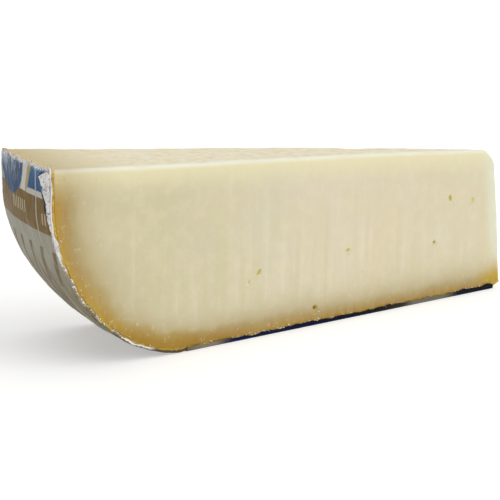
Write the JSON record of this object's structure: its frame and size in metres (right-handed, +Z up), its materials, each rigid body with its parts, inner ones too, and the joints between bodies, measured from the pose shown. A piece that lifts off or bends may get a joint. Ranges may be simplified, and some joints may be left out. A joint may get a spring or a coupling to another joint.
{
  "type": "cheese wheel piece",
  "caption": "Narrow wedge cut from a round waxed cheese and cut level across, with rind coating and printed film on its rounded side and base.",
  "frame": {"origin": "middle of the footprint, on the surface that the piece stands on", "axes": "+Z up, as the piece stands on its base; the front cut face looks along -Y; the thin point of the wedge is at +X and the round side of the wheel at -X"},
  "size_m": [0.1656, 0.0422, 0.054],
  "materials": {
    "cheese": "satin",
    "rind_coating": "satin",
    "side_label": "satin",
    "base_label": "satin"
  },
  "bodies": {
    "root": {"cheese": "cheese", "rind_coating": "rind_coating", "side_label": "side_label", "base_label": "base_label"}
  },
  "joints": []
}
